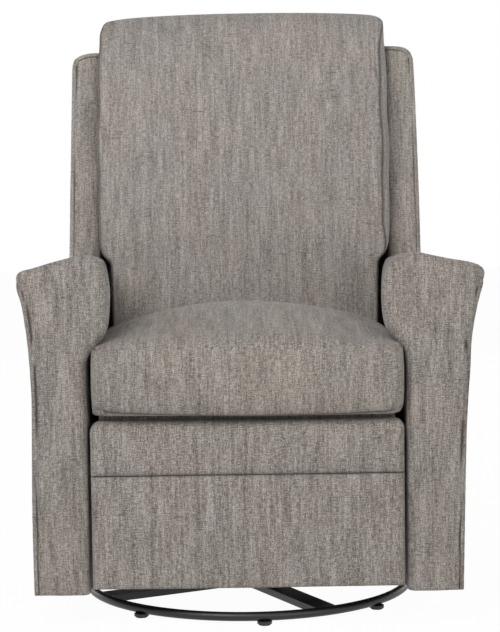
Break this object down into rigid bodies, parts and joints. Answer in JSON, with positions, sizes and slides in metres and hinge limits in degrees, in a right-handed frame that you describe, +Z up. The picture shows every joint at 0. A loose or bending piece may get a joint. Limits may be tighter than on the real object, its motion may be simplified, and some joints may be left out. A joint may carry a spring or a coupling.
{
  "type": "swivel glider recliner",
  "caption": "Upholstered swivel glider recliner with flared arms, wings, fold-out footrest and a round tube base.",
  "frame": {"origin": "on the floor, on the swivel axis, at the middle of the base ring", "axes": "+Z up; the chair faces -Y with its footrest shut and its back upright; +X is to the right as seen from the front"},
  "size_m": [0.7984, 0.8886, 1.0894],
  "materials": {
    "upholstery_fabric": "heathered linen tweed, warm grey",
    "lining": "plain woven lining",
    "black_steel": "semi-gloss black",
    "zinc_steel": "zinc plated",
    "hardwood": "raw hardwood and plywood",
    "nylon": "moulded nylon"
  },
  "bodies": {
    "base": {"base_ring": "black_steel", "cross_bar_lower": "black_steel", "cross_bar_upper": "black_steel", "floor_pads": "nylon", "bearing_lower": "zinc_steel"},
    "turntable": {"bearing_upper": "zinc_steel", "upper_glide_bolts": "zinc_steel", "stand_plate": "black_steel", "stand_side_left": "black_steel", "stand_side_right": "black_steel", "stand_tie": "black_steel"},
    "glide_front": {"glide_link_front_left": "zinc_steel", "glide_link_front_right": "zinc_steel"},
    "glide_rear": {"glide_link_rear_left": "zinc_steel", "glide_link_rear_right": "zinc_steel"},
    "chair_frame": {"hanger_rail_left": "black_steel", "hanger_rail_right": "black_steel", "seat_channel_left": "black_steel", "seat_channel_right": "black_steel", "back_bracket_left": "black_steel", "back_bracket_right": "black_steel", "lower_glide_bolts": "zinc_steel", "beam_front": "hardwood", "beam_rear": "hardwood", "arm_left": "upholstery_fabric", "arm_right": "upholstery_fabric", "arm_front_left": "upholstery_fabric", "arm_front_right": "upholstery_fabric", "rear_panel": "upholstery_fabric"},
    "seat": {"seat_plate_left": "black_steel", "seat_plate_right": "black_steel", "slide_blocks": "nylon", "seat_rail_front": "hardwood", "seat_rail_rear": "hardwood", "seat_rail_left": "hardwood", "seat_rail_right": "hardwood", "seat_deck": "lining", "seat_cushion": "upholstery_fabric"},
    "back": {"wing_left": "upholstery_fabric", "wing_right": "upholstery_fabric", "outside_back": "upholstery_fabric", "back_cushion": "upholstery_fabric", "back_post_left": "black_steel", "back_post_right": "black_steel"},
    "swing_front": {"swing_link_front_left": "black_steel", "swing_link_front_right": "black_steel", "swing_tube": "black_steel"},
    "swing_rear": {"swing_link_rear_left": "black_steel", "swing_link_rear_right": "black_steel"},
    "carrier": {"carrier_link_left": "black_steel", "carrier_link_right": "black_steel"},
    "tie": {"tie_link_left": "black_steel", "tie_link_right": "black_steel"},
    "footrest": {"footrest_bracket_left": "black_steel", "footrest_bracket_right": "black_steel", "footrest_board": "hardwood", "footrest_panel": "upholstery_fabric", "footrest_band": "upholstery_fabric"}
  },
  "joints": [
    {"name": "swivel", "type": "hinge", "parent": "base", "child": "turntable", "pos_m": [0, 0, 0], "axis": [0, 0, 1], "continuous": true},
    {"name": "glide", "type": "hinge", "parent": "turntable", "child": "glide_front", "pos_m": [0, -0.09, 0.212], "axis": [1, 0, 0], "range_deg": [-20, 20]},
    {"name": "glide_rear_upper", "type": "hinge", "parent": "turntable", "child": "glide_rear", "pos_m": [0, 0.09, 0.212], "axis": [1, 0, 0], "range_deg": [-20, 20]},
    {"name": "glide_front_lower", "type": "hinge", "parent": "glide_front", "child": "chair_frame", "pos_m": [0, -0.09, 0.112], "axis": [1, 0, 0], "range_deg": [-20, 20]},
    {"name": "recline", "type": "hinge", "parent": "chair_frame", "child": "back", "pos_m": [0, 0.262, 0.38], "axis": [-1, 0, 0], "range_deg": [0, 35]},
    {"name": "seat_slide", "type": "slide", "parent": "chair_frame", "child": "seat", "axis": [0, -1, 0], "range_m": [0, 0.045]},
    {"name": "legrest", "type": "hinge", "parent": "seat", "child": "swing_front", "pos_m": [0, -0.215, 0.335], "axis": [-1, 0, 0], "range_deg": [0, 90]},
    {"name": "legrest_rear", "type": "hinge", "parent": "seat", "child": "swing_rear", "pos_m": [0, -0.14, 0.32], "axis": [-1, 0, 0], "range_deg": [0, 90]},
    {"name": "legrest_carrier", "type": "hinge", "parent": "swing_front", "child": "carrier", "pos_m": [0, -0.16003, 0.13543], "axis": [1, 0, 0], "range_deg": [0, 90]},
    {"name": "legrest_tie", "type": "hinge", "parent": "swing_front", "child": "tie", "pos_m": [0, -0.17331, 0.18364], "axis": [1, 0, 0], "range_deg": [0, 90]},
    {"name": "footrest_turn", "type": "hinge", "parent": "carrier", "child": "footrest", "pos_m": [0, -0.25, 0.22], "axis": [-1, 0, 0], "range_deg": [0, 90]}
  ],
  "couplings": [
    {"joint": "glide_rear_upper", "follows": "glide", "ratio": 1},
    {"joint": "glide_front_lower", "follows": "glide", "ratio": -1},
    {"joint": "seat_slide", "follows": "recline", "m_per_rad": 0.07366},
    {"joint": "legrest_rear", "follows": "legrest", "ratio": 1},
    {"joint": "legrest_carrier", "follows": "legrest", "ratio": 1},
    {"joint": "legrest_tie", "follows": "legrest", "ratio": 1},
    {"joint": "footrest_turn", "follows": "legrest", "ratio": 1}
  ]
}
